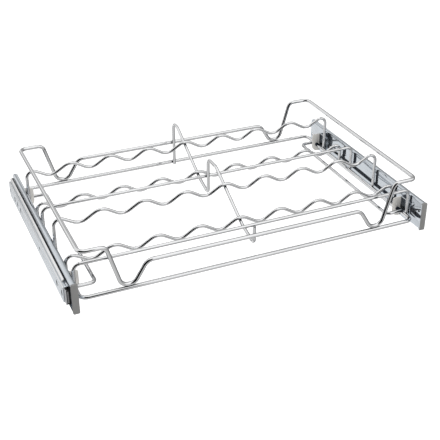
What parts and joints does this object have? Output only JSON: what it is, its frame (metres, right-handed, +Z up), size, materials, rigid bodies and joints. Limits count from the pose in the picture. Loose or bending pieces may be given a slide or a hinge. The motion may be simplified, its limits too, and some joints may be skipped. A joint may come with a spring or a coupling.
{
  "type": "pull-out shoe rack",
  "caption": "Pull-out wire shoe rack on two full-extension ball-bearing runners, with wavy shoe wires, a raised gallery and a sloping middle divider, for mounting between wardrobe sides.",
  "frame": {"origin": "middle of the closed rack in plan, level with the runners' bottom edges", "axes": "+X along the wardrobe's width to the right of someone facing it, +Y into the wardrobe, +Z up; the rack pulls out along -Y"},
  "size_m": [0.564, 0.3519, 0.0889],
  "materials": {
    "rack_chrome": "bright chrome plate",
    "runner_zinc": "bright zinc plate",
    "cage_zinc": "dull zinc plate",
    "ball_steel": "polished",
    "bracket_paint": "satin beige",
    "bumper_grey": "satin grey",
    "rivet_steel": "polished",
    "stop_plastic": "matt black"
  },
  "bodies": {
    "cabinet_members": {"cabinet_member_left": "runner_zinc", "front_stop_left": "stop_plastic", "cabinet_member_right": "runner_zinc", "front_stop_right": "stop_plastic"},
    "rack": {"base_ring": "rack_chrome", "gallery_ring": "rack_chrome", "divider_wire": "rack_chrome", "heel_wire_rear": "rack_chrome", "heel_wire_front": "rack_chrome", "sole_wire_rear": "rack_chrome", "sole_wire_front": "rack_chrome", "toe_stop_rear": "rack_chrome", "toe_stop_front": "rack_chrome", "bumper_rivets": "rivet_steel", "carrier_wire_left": "rack_chrome", "rack_channel_left": "runner_zinc", "bracket_rear_left": "bracket_paint", "bracket_front_left": "bracket_paint", "bumper_left": "bumper_grey", "carrier_wire_right": "rack_chrome", "rack_channel_right": "runner_zinc", "bracket_rear_right": "bracket_paint", "bracket_front_right": "bracket_paint", "bumper_right": "bumper_grey"},
    "middle_left": {"middle_member_left": "runner_zinc"},
    "channel_cage_left": {"channel_cage_left": "cage_zinc", "channel_balls_left": "ball_steel"},
    "cabinet_cage_left": {"cabinet_cage_left": "cage_zinc", "cabinet_balls_left": "ball_steel"},
    "middle_right": {"middle_member_right": "runner_zinc"},
    "channel_cage_right": {"channel_cage_right": "cage_zinc", "channel_balls_right": "ball_steel"},
    "cabinet_cage_right": {"cabinet_cage_right": "cage_zinc", "cabinet_balls_right": "ball_steel"}
  },
  "joints": [
    {"name": "rack_slide", "type": "slide", "parent": "cabinet_members", "child": "rack", "axis": [0, -1, 0], "range_m": [0, 0.32]},
    {"name": "middle_slide_left", "type": "slide", "parent": "cabinet_members", "child": "middle_left", "axis": [0, -1, 0], "range_m": [0, 0.16]},
    {"name": "channel_cage_slide_left", "type": "slide", "parent": "cabinet_members", "child": "channel_cage_left", "axis": [0, -1, 0], "range_m": [0, 0.24]},
    {"name": "cabinet_cage_slide_left", "type": "slide", "parent": "cabinet_members", "child": "cabinet_cage_left", "axis": [0, -1, 0], "range_m": [0, 0.08]},
    {"name": "middle_slide_right", "type": "slide", "parent": "cabinet_members", "child": "middle_right", "axis": [0, -1, 0], "range_m": [0, 0.16]},
    {"name": "channel_cage_slide_right", "type": "slide", "parent": "cabinet_members", "child": "channel_cage_right", "axis": [0, -1, 0], "range_m": [0, 0.24]},
    {"name": "cabinet_cage_slide_right", "type": "slide", "parent": "cabinet_members", "child": "cabinet_cage_right", "axis": [0, -1, 0], "range_m": [0, 0.08]}
  ],
  "couplings": [
    {"joint": "middle_slide_left", "follows": "rack_slide", "ratio": 0.5},
    {"joint": "channel_cage_slide_left", "follows": "rack_slide", "ratio": 0.75},
    {"joint": "cabinet_cage_slide_left", "follows": "rack_slide", "ratio": 0.25},
    {"joint": "middle_slide_right", "follows": "rack_slide", "ratio": 0.5},
    {"joint": "channel_cage_slide_right", "follows": "rack_slide", "ratio": 0.75},
    {"joint": "cabinet_cage_slide_right", "follows": "rack_slide", "ratio": 0.25}
  ]
}
